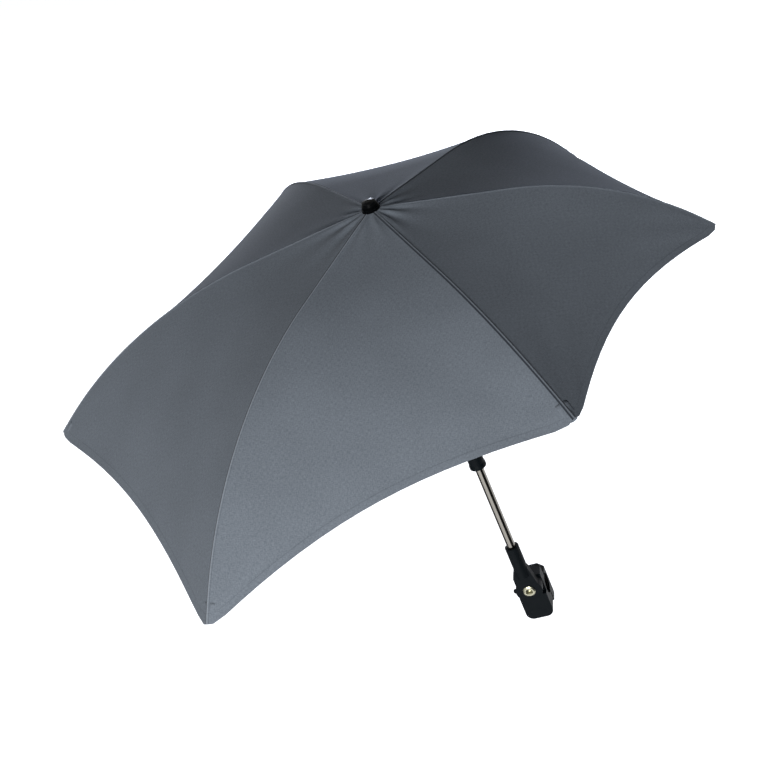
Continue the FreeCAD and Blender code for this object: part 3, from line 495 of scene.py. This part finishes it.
# lineSize is in mm along x, y and z.  Real lines of 0.05 mm are too fine to show.
looks = {
    # dull black that takes only a soft light along its edges
    "black_plastic": plasticMaterial("Black nylon, moulded with a spark texture", "04090D",
                                     roughness=0.52, grain=0.16, gloss=0.07),
    # deep black with one small highlight
    "black_gloss": plasticMaterial("Black plastic, moulded and polished", "050607",
                                   roughness=0.34, grain=0.04, gloss=0.02),
    # soft dead black with a coarse skin
    "pad_rubber": plasticMaterial("Black rubber, moulded", "101011",
                                  roughness=0.78, grain=0.22, gloss=0.15),
    # smooth black with a long streak of light down each rib
    "rib_steel": plasticMaterial("Spring steel, black lacquered", "0F1012",
                                 roughness=0.4, grain=0.05, gloss=0.25),
    # cool bright bands along the tube, broken by fine draw lines
    "nickel_steel": metalMaterial("Steel, drawn and nickel-plated", "83807A",
                                  roughness=0.14, lineSize=(0.5, 0.5, 18.0)),
    # dull yellow with a cut, grainy shine
    "insert_brass": metalMaterial("Brass, turned", "B08D4E",
                                  roughness=0.3, lineSize=(0.5, 0.5, 0.5)),
}
# paler and softer than the tube, with rings left by the tool
rivetLook = metalMaterial("Steel, turned and nickel-plated", "A8A692",
                          roughness=0.28, lineSize=(0.6, 4.0, 0.6))
slots = {part["node"]: part["material_slot"] for part in frame["record"]["subparts"]}
edge = {"width": 0.0005, "segments": 2, "angle": 40.0,  # metres and degrees
        "slots": ("black_plastic", "black_gloss", "pad_rubber")}
for name, node in frame["nodes"].items():
    if slots[name] not in looks:
        continue  # the canopy's solids, which the cloth replaces
    node.data.materials.clear()
    node.data.materials.append(rivetLook if name == "pivot_rivet" else looks[slots[name]])
    if slots[name] in edge["slots"] and not name.startswith("rib_tip"):
        rounded = node.modifiers.new("edge", "BEVEL")
        rounded.width = edge["width"]
        rounded.segments = edge["segments"]
        rounded.limit_method = "ANGLE"
        rounded.angle_limit = math.radians(edge["angle"])
        rounded.harden_normals = True
print("hard pieces dressed")

# Camera at the photograph's angle, fitted to the rib tips, cap, collar and rivet.
view = {
    "right": (0.936372, 0.069774, -0.344004), "up": (0.245829, 0.569196, 0.784592),
    "back": (0.25055, -0.819236, 0.515827), "place": (0.41300, -1.57056, 1.30507),
    "lens": 83.534, "sensor": 36,  # mm
}
camera = bpy.data.cameras.new("camera")
camera.lens = view["lens"]
camera.sensor_width = view["sensor"]
eye = bpy.data.objects.new("camera", camera)
scene.collection.objects.link(eye)
turn = Matrix((view["right"], view["up"], view["back"])).transposed().to_4x4()
eye.matrix_world = Matrix.Translation(view["place"]) @ turn
scene.camera = eye
print("camera placed")

# White studio: camera and mirror rays see white, and the lamps and a dim sky light the object.
studio = {"floorZ": -0.9, "floorHalf": 30.0, "paint": "FAFAFA", "white": "FFFFFF",
          "floorGlow": 0.9, "sky": 0.04, "skyTint": "D2E1FF"}


# 1 for a ray from the camera, a mirror or glass, and 0 for a ray that carries light.
def seenDirectly(owner):
    rays = [add(owner, "LightPath", {}, {}, "Is %s Ray" % kind)
            for kind in ("Camera", "Glossy", "Transmission")]
    seen = add(owner, "Math", {"operation": "MAXIMUM"}, {0: rays[0], 1: rays[1]})
    return add(owner, "Math", {"operation": "MAXIMUM"}, {0: seen, 1: rays[2]})


half, level = studio["floorHalf"], studio["floorZ"]
floorMesh = bpy.data.meshes.new("floor")
floorMesh.from_pydata([(-half, -half, level), (half, -half, level),
                       (half, half, level), (-half, half, level)], [], [(0, 1, 2, 3)])
floor = bpy.data.objects.new("floor", floorMesh)
scene.collection.objects.link(floor)
# an even white that keeps only a faint shadow
floorLook, floorShader = newMaterial("Studio floor, painted matt white", {
    "Base Color": srgb(studio["paint"]), "Roughness": 0.9,
    "Emission Color": srgb(studio["white"])})
fill(floorLook, floorShader.inputs["Emission Strength"], add(
    floorLook, "Math", {"operation": "MULTIPLY"}, {
        0: seenDirectly(floorLook), 1: studio["floorGlow"]}))
floorMesh.materials.append(floorLook)

world = bpy.data.worlds.new("studio")
scene.world = world
world.use_nodes = True
sky = world.node_tree.nodes["Background"]
fill(world, sky.inputs["Color"], add(world, "Mix", {"data_type": "RGBA"}, {
    "Factor": seenDirectly(world), "A": srgb(studio["skyTint"]),
    "B": srgb(studio["white"])}, "Result"))
fill(world, sky.inputs["Strength"], add(world, "MapRange", {}, {
    "Value": seenDirectly(world), "From Min": 0.0, "From Max": 1.0,
    "To Min": studio["sky"], "To Max": 1.0}))

lamps = {  # metres, watts
    "frontSoftbox": {"place": (-0.3, -4.0, 1.5), "size": 1.9, "power": 188, "tint": "FFFFFF"},
    "rearSoftbox": {"place": (-0.55, 3.9, 0.2), "size": 0.6, "power": 84, "tint": "E6EEFF"},
}
lampTarget = Vector((0, 0, 0.42))
for name, box in lamps.items():
    light = bpy.data.lights.new(name, "AREA")
    light.size = box["size"]
    light.energy = box["power"]
    light.color = srgb(box["tint"])[:3]
    lamp = bpy.data.objects.new(name, light)
    scene.collection.objects.link(lamp)
    lamp.location = box["place"]
    aim = lampTarget - Vector(box["place"])
    lamp.rotation_euler = aim.to_track_quat("-Z", "Y").to_euler()

# Black cards that only mirrors see, so that the plated tube has dark lines beside its bright one.
cards = {
    "left": (185.0, 0.42), "right": (322.0, 0.62),  # degrees round the shaft, half width
    "away": 0.9, "low": -0.88, "high": 0.5,  # metres
}
cardLook = newMaterial("Black card, matt", {"Base Color": srgb("0A0A0A"), "Roughness": 0.95})[0]
for side in ("left", "right"):
    angle, half = math.radians(cards[side][0]), cards[side][1]
    centre = Vector((math.cos(angle), math.sin(angle), 0)) * cards["away"]
    across = Vector((-math.sin(angle), math.cos(angle), 0)) * half
    edges = [centre - across, centre + across]
    corners = [(spot.x, spot.y, cards[end]) for end in ("low", "high") for spot in edges]
    cardMesh = bpy.data.meshes.new(side + "Card")
    cardMesh.from_pydata(corners, [], [(0, 1, 3, 2)])
    cardMesh.materials.append(cardLook)
    card = bpy.data.objects.new(side + "Card", cardMesh)
    scene.collection.objects.link(card)
    card.visible_camera = card.visible_diffuse = card.visible_shadow = False
scene.view_settings.view_transform = "Standard"
print("studio lit")
